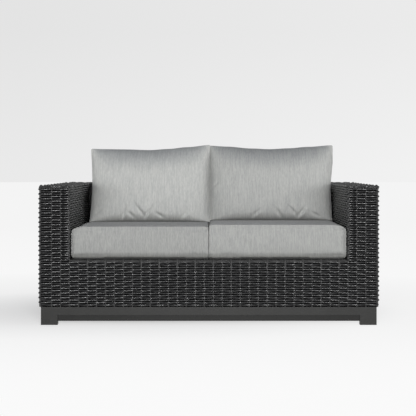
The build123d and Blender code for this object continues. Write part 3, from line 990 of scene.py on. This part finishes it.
# Each back cushion: its edges, how far its inner seam laps beside and in front of the other's, its length,
# how far the top seam lies below that at places across, how far the two sides draw in, how far their top
# ends flare and over which share of the length, and the creases low on its front, by place across and up,
# slant, length and depth
back_shapes = {
    "left": {
        "edges": (-0.642, -0.0005),
        "lap": (0.004, -0.006),
        "length": 0.445,
        "drops": [
            (-1, 0.021), (-0.8, 0.0235), (-0.45, 0.025), (0, 0.029),
            (0.3, 0.0225), (0.62, 0.0125), (1, 0.001),
        ],
        "draws": (0.010, 0.0),
        "flares": (0.003, 0.0),
        "flare_span": (0.55, 1.0),
        "creases": [
            (-0.129, 0.050, 0.5, 0.030, 0.007),
            (-0.090, 0.042, -0.9, 0.024, 0.004),
            (-0.047, 0.066, -0.7, 0.034, 0.006),
            (-0.002, 0.056, 0.6, 0.036, 0.008),
            (0.060, 0.040, -1.1, 0.022, 0.004),
            (0.193, 0.048, 0.8, 0.026, 0.004),
            (-0.270, 0.060, 1.0, 0.030, 0.003),
        ],
    },
    "right": {
        "edges": (-0.0045, 0.6585),
        "lap": (0.0, 0.006),
        "length": 0.436,
        "drops": [
            (-1, 0.002), (-0.7, 0.0085), (-0.3, 0.019), (0, 0.023),
            (0.3, 0.018), (0.6, 0.010), (1, 0.001),
        ],
        "draws": (0.0, 0.004),
        "flares": (0.0, 0.0135),
        "flare_span": (0.48, 0.78),
        "creases": [
            (0.035, 0.050, -0.6, 0.032, 0.005),
            (0.105, 0.062, -0.8, 0.034, 0.006),
            (0.158, 0.048, 0.7, 0.030, 0.009),
            (-0.080, 0.044, 0.9, 0.026, 0.004),
            (-0.290, 0.205, 0.8, 0.030, 0.003),
            (0.235, 0.040, -1.2, 0.024, 0.004),
        ],
    },
}

# The creases' width, how much deeper they are pressed than written, and the share of their soft ridge
crease_width = 0.007
crease_strength = 1.3
crease_ridge = 0.45

# How a back cushion stands: its lean, its thickness, and how far it sinks into the seat and the back
back_lean = math.radians(14.0)
back_thickness = 0.232
back_sink = 0.025
back_press = 0.008
seam_thickness = 0.006

# The cloth's cells and slack, how far it stays over the seat's sagging top, and how far its seams may
# stand out of its solid on the left and on the right
back_cell = 0.0105
back_slack = 0.015
back_foot_gap = 0.0006
seam_reach = (0.006, 0.008)


def back_fullness(across, up):
    """Share of a back cushion's full thickness: it thins slowly to the top and fast at the foot."""
    off = abs(up - 0.5) * 2
    along = (1 - off ** 2.4) ** 0.8 if up > 0.5 else (1 - off ** 4) ** 0.5
    return along * max(0.0, 1 - abs(across) ** 3.6) ** 0.6


class LOVESEAT_OT_back_cushions(bpy.types.Operator):
    """Make the two knife-edge back cushions"""
    bl_idname = "loveseat.back_cushions"
    bl_label = "Back cushions"

    def execute(self, context):
        cushions = context.scene.loveseat_cushions
        for side, shape in back_shapes.items():
            body = f"back_cushion_{side}"
            low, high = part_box(body + "_cover")
            material = cushion_cloth(body, cushions)
            left, right = shape["edges"]
            length, width = shape["length"], right - left
            y = back_front_y + back_press - back_thickness / 2 / math.cos(back_lean)
            y -= 0.45 * length * math.sin(back_lean)
            rest = Vector(((left + right) / 2, y, low.z - back_sink))
            place = Matrix.Translation(rest) @ Matrix.Rotation(-back_lean, 4, "X")
            form = cell_box(Vector((width, seam_thickness * 2, length)), back_cell)
            seam = []
            for vertex in form.verts:
                u = vertex.co.x / (width / 2)
                v = vertex.co.z / length + 0.5
                if abs(u) > 0.999 or v < 0.001 or v > 0.999:
                    seam.append(vertex.index)
                vertex.co = self.pillowed(vertex.co, u, v, side, shape)
            piece = cushion_piece(body, form, place, material)
            settle(piece, cushions.pressure, cushions.swell, slack=back_slack, held=seam)
            normal, plane = self.zip_plane(body)
            for vertex in piece.data.vertices:
                point = vertex.co
                past = normal.dot(point) - plane
                if past > 0:
                    point -= normal * past
                point.y = min(point.y, high.y)
                point.z = max(point.z, low.z - seat_sag + seat_rise + back_foot_gap)
                point.x = min(max(point.x, low.x - seam_reach[0]), high.x + seam_reach[1])
            smooth_over(piece)
            self.crease(piece, place, shape["creases"])
            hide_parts(body + "_cover")
        return {"FINISHED"}

    def pillowed(self, flat, u, v, side, shape):
        """A point of the flat box, at a share across and up, on the pillow form between its seams."""
        face = 1 if flat.y > 0 else -1
        end = 0 if u < 0 else 1
        draw = shape["draws"][end] * math.sin(math.pi * v)
        start, full_by = shape["flare_span"]
        flare = shape["flares"][end] * within((v - start) / (full_by - start))
        thickness = max(back_thickness / 2 * back_fullness(u, within(v)), seam_thickness / 2)
        lap = max(0, u if side == "left" else -u) ** 10
        lap_x, lap_y = shape["lap"]
        return Vector((
            flat.x - (draw - flare) * u + lap_x * lap,
            face * thickness + lap_y * lap,
            v * (shape["length"] - blend_table(shape["drops"], u)),
        ))

    def zip_plane(self, body):
        """The plane of the zip's tape, which the cloth stays in front of: its normal and distance."""
        joint = next(j for j in frame["joints"] if j["name"] == body + "_zip_pull_swing")
        axis = Vector(joint["axis"])
        normal = Vector((0, axis.z, -axis.y))
        tape = frame["nodes"][body + "_zip_tape"].data
        return normal, min(normal.dot(vertex.co) for vertex in tape.vertices)

    def crease(self, piece, place, creases):
        """Apply the smoothing, then press the short slanting creases into the front."""
        graph = bpy.context.evaluated_depsgraph_get()
        mesh = bpy.data.meshes.new_from_object(piece.evaluated_get(graph))
        piece.modifiers.clear()
        piece.data = mesh
        back = place.inverted()
        for vertex in mesh.vertices:
            point = back @ vertex.co
            if point.y > 0:
                continue
            for across, up, slant, length, depth in creases:
                along = Vector((math.sin(slant), math.cos(slant)))
                off = Vector((point.x - across, point.z - up))
                run, side = off.dot(along), off.cross(along)
                groove = math.exp(-((side / crease_width) ** 2))
                ridge = math.exp(-(((side - 2 * crease_width) / (1.4 * crease_width)) ** 2))
                dent = groove - crease_ridge * ridge
                point.y += crease_strength * depth * dent * math.exp(-((run / length) ** 2))
            vertex.co = place @ point


# Painted shade: how much darker the lower rails' copy of the powder coat is, as they stand back in the shade of
# the upper ones
lower_rail_painted_shade = 0.62


class LOVESEAT_OT_metalwork(bpy.types.Operator):
    """Finish the base, the frame tubes, the fixings and the zips"""
    bl_idname = "loveseat.metalwork"
    bl_label = "Base, frame and zips"

    def execute(self, context):
        base = tuple(context.scene.loveseat_base.colour)
        finishes = {
            "powder_coat": speckled_finish("powder_coat", base, 0.42, 0.2),
            "glide_plastic": speckled_finish("glide_plastic", (0.018, 0.018, 0.018), 0.55),
            "zinc_steel": speckled_finish("zinc_steel", (0.55, 0.55, 0.53), 0.35, metallic=1.0),
            # The frame's aluminium is near black: painted shade for the weave's dark inside, where the tubes show
            # through the gaps
            "frame_aluminium": speckled_finish("frame_aluminium", (0.035, 0.035, 0.035), 0.5),
            "cushion_foam": speckled_finish(
                "cushion_foam", (0.72, 0.68, 0.55), 0.95, 0.2, grain=400.0, depth=0.0006
            ),
            "cushion_fibre": speckled_finish(
                "cushion_fibre", (0.8, 0.8, 0.78), 1.0, 0.1, grain=250.0, depth=0.001
            ),
            "zip_tape": tape_finish(),
            "zip_metal": speckled_finish("zip_metal", (0.42, 0.42, 0.43), 0.32, metallic=1.0),
        }
        for part in frame["record"]["subparts"]:
            if part["material_slot"] in finishes:
                give(frame["nodes"][part["node"]], finishes[part["material_slot"]])
        # A shaded copy of the powder coat for the lower rails: painted shade
        lower = speckled_finish("powder_coat_painted_shade", scaled(base, lower_rail_painted_shade), 0.42, 0.16)
        for side in ("front", "rear", "left", "right"):
            give(frame["nodes"]["lower_rail_" + side], lower)
        return {"FINISHED"}


# Stage

def seen_share(tree, glossy_share=None):
    """1 for rays that show the backdrop: camera and clear rays, and glossy rays by their share."""
    path = add_node(tree, "ShaderNodeLightPath")
    glossy = path.outputs["Is Glossy Ray"]
    if glossy_share is not None:
        limit = add_node(tree, "ShaderNodeMath", operation="MULTIPLY")
        tree.links.new(glossy, limit.inputs[0])
        tree.links.new(glossy_share, limit.inputs[1])
        glossy = limit.outputs[0]
    share = path.outputs["Is Camera Ray"]
    for other in (glossy, path.outputs["Is Transmission Ray"]):
        most = add_node(tree, "ShaderNodeMath", operation="MAXIMUM")
        tree.links.new(share, most.inputs[0])
        tree.links.new(other, most.inputs[1])
        share = most.outputs[0]
    return share


# Each lamp: its place, what it points at, its power, width and height
front_lamps = {
    "key": ((0.1, -5.6, 1.15), (0, 0, 0.5), 228, 2.2, 0.45),
    "fill": ((0.3, -5.7, 1.25), (0, 0, 0.5), 58, 7.0, 0.8),
    "side": ((3.0, -1.0, 2.7), (0, 0, 0.2), 12, 2.0, 2.0),
}

# Soft lamps for the sides and the rear, which show in no reflection and leave the floor alone
round_lamps = {
    "left": ((-5, -1.2, 0.95), (0, 0, 0.6), 105, 2.0, 2.0),
    "right": ((5, -1.2, 0.95), (0, 0, 0.6), 105, 2.0, 2.0),
    "rear": ((0.6, 6, 0.95), (0, 0, 0.6), 240, 2.0, 2.0),
}

# Share of the floor's own shading, by distance from the loveseat: the rest shows its plain pale tone
shadow_shares = [
    (0.12, (0.48, 0.48, 0.48)),
    (0.22, (0.33, 0.33, 0.33)),
    (0.36, (0.12, 0.12, 0.12)),
    (0.80, (0, 0, 0)),
]


def mix_shaders(tree, share, first, second):
    """Two shaders mixed by a share."""
    mix = add_node(tree, "ShaderNodeMixShader")
    for socket, value in zip(mix.inputs, (share, first, second)):
        tree.links.new(value, socket)
    return mix.outputs[0]


class LOVESEAT_OT_stage(bpy.types.Operator):
    """Set the floor, the backdrop, the lamps and the camera"""
    bl_idname = "loveseat.stage"
    bl_label = "Floor, lamps and camera"

    def execute(self, context):
        scene = context.scene
        floor = self.floor()
        scene.world = self.backdrop()
        for name, values in front_lamps.items():
            self.lamp(name, *values)
        others = self.all_but(floor)
        for name, values in round_lamps.items():
            lamp = self.lamp(name, *values)
            lamp.visible_glossy = False
            lamp.light_linking.receiver_collection = others

        lens = bpy.data.cameras.new("camera")
        lens.sensor_width = 36.0
        lens.lens = 83.42
        lens.shift_x = -0.0144
        lens.shift_y = -0.1022
        camera = bpy.data.objects.new("camera", lens)
        camera.location = (0.025, -5.032, 0.763)
        camera.rotation_euler = (math.radians(90), 0, 0)
        scene.collection.objects.link(camera)
        scene.camera = camera
        scene.view_settings.view_transform = "Standard"
        return {"FINISHED"}

    def floor(self):
        """A wide round floor."""
        form = bmesh.new()
        bmesh.ops.create_circle(form, cap_ends=True, radius=40.0, segments=96)
        mesh = bpy.data.meshes.new("floor")
        form.to_mesh(mesh)
        form.free()
        floor = bpy.data.objects.new("floor", mesh)
        bpy.context.scene.collection.objects.link(floor)
        give(floor, self.floor_finish())
        return floor

    def backdrop(self):
        """The world: an even dim light, seen as a pale backdrop that is lighter low down and at the right."""
        world = bpy.data.worlds.new("studio")
        world.use_nodes = True
        tree = world.node_tree
        tree.nodes.clear()
        light = add_node(
            tree, "ShaderNodeBackground", {"Color": (0.94, 0.98, 1.04, 1), "Strength": 0.085}
        )
        seen = add_node(tree, "ShaderNodeBackground")
        way = add_node(tree, "ShaderNodeTexCoord")
        parts = add_node(tree, "ShaderNodeSeparateXYZ")
        tree.links.new(way.outputs["Generated"], parts.inputs[0])
        tone = map_range(tree, parts.outputs["Z"], 0.0, 0.136, 0.85, 0.80)
        strength = map_range(tree, parts.outputs["X"], -0.2, 0.2, 0.965, 1.035)
        tree.links.new(tone, seen.inputs["Color"])
        tree.links.new(strength, seen.inputs["Strength"])
        behind = map_range(tree, parts.outputs["Y"], -0.1, 0.3, 0, 1)
        sky = mix_shaders(tree, seen_share(tree, behind), light.outputs[0], seen.outputs[0])
        out = add_node(tree, "ShaderNodeOutputWorld")
        tree.links.new(sky, out.inputs["Surface"])
        return world

    def lamp(self, name, place, aim, power, width, height):
        """An area lamp turned to what it lights."""
        light = bpy.data.lights.new(name, "AREA")
        light.energy = power
        light.shape = "RECTANGLE"
        light.size = width
        light.size_y = height
        obj = bpy.data.objects.new(name, light)
        obj.location = place
        obj.rotation_euler = (Vector(aim) - Vector(place)).to_track_quat("-Z", "Y").to_euler()
        bpy.context.scene.collection.objects.link(obj)
        return obj

    def all_but(self, floor):
        """A collection that stands for everything but the floor, for the lamps' light linking."""
        others = bpy.data.collections.new("off_floor")
        others.objects.link(floor)
        others.collection_objects[0].light_linking.link_state = "EXCLUDE"
        return others

    def floor_finish(self):
        """Pale floor that shows the loveseat's shadow and runs into the background."""
        material, tree, main = shader("floor", (0.8, 0.8, 0.8), 0.9)
        tree.nodes.remove(main)
        place = add_node(tree, "ShaderNodeTexCoord")
        parts = add_node(tree, "ShaderNodeSeparateXYZ")
        tree.links.new(place.outputs["Object"], parts.inputs[0])
        pale = map_range(tree, parts.outputs["Y"], -2.5, 7.0, 0.955, 0.905)
        glow = add_node(tree, "ShaderNodeEmission")
        tree.links.new(pale, glow.inputs["Color"])
        about = add_node(
            tree, "ShaderNodeMapping", {"Location": (0.1, 0, 0), "Scale": (0.25, 0.42, 0.25)}
        )
        tree.links.new(place.outputs["Object"], about.inputs["Vector"])
        far = add_node(tree, "ShaderNodeVectorMath", operation="LENGTH")
        tree.links.new(about.outputs["Vector"], far.inputs[0])
        near = ramp(tree, far.outputs["Value"], shadow_shares)
        shaded = add_node(tree, "ShaderNodeBsdfDiffuse", {"Color": (1.7, 1.7, 1.7, 1)})
        seen = mix_shaders(tree, near, glow.outputs[0], shaded.outputs[0])
        matt = add_node(tree, "ShaderNodeBsdfDiffuse", {"Color": (0.3, 0.3, 0.3, 1)})
        surface = mix_shaders(tree, seen_share(tree), matt.outputs[0], seen)
        tree.links.new(surface, tree.nodes["Material Output"].inputs["Surface"])
        return material


class LOVESEAT_PT_panel(bpy.types.Panel):
    """Sizes, colours and building steps of the loveseat"""
    bl_idname = "LOVESEAT_PT_panel"
    bl_label = "Loveseat"
    bl_space_type = "VIEW_3D"
    bl_region_type = "UI"
    bl_category = "Loveseat"

    def draw(self, context):
        scene = context.scene
        for group in (scene.loveseat_weave, scene.loveseat_cushions, scene.loveseat_base):
            box = self.layout.box()
            for key in group.__annotations__:
                box.prop(group, key)
        for step in steps:
            self.layout.operator(step.bl_idname)


steps = (
    LOVESEAT_OT_walls,
    LOVESEAT_OT_stakes,
    LOVESEAT_OT_tops,
    LOVESEAT_OT_backing,
    LOVESEAT_OT_seat_cushions,
    LOVESEAT_OT_back_cushions,
    LOVESEAT_OT_metalwork,
    LOVESEAT_OT_stage,
)
groups = (LoveseatWeave, LoveseatCushions, LoveseatBase)


def register():
    for cls in (*groups, *steps, LOVESEAT_PT_panel):
        bpy.utils.register_class(cls)
    bpy.types.Scene.loveseat_weave = PointerProperty(type=LoveseatWeave)
    bpy.types.Scene.loveseat_cushions = PointerProperty(type=LoveseatCushions)
    bpy.types.Scene.loveseat_base = PointerProperty(type=LoveseatBase)


def unregister():
    del bpy.types.Scene.loveseat_base
    del bpy.types.Scene.loveseat_cushions
    del bpy.types.Scene.loveseat_weave
    for cls in reversed((*groups, *steps, LOVESEAT_PT_panel)):
        bpy.utils.unregister_class(cls)


def main():
    register()
    bpy.ops.loveseat.walls()
    bpy.ops.loveseat.stakes()
    bpy.ops.loveseat.tops()
    bpy.ops.loveseat.backing()
    bpy.ops.loveseat.seat_cushions()
    bpy.ops.loveseat.back_cushions()
    bpy.ops.loveseat.metalwork()
    bpy.ops.loveseat.stage()
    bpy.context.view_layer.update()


if __name__ == "__main__":
    main()
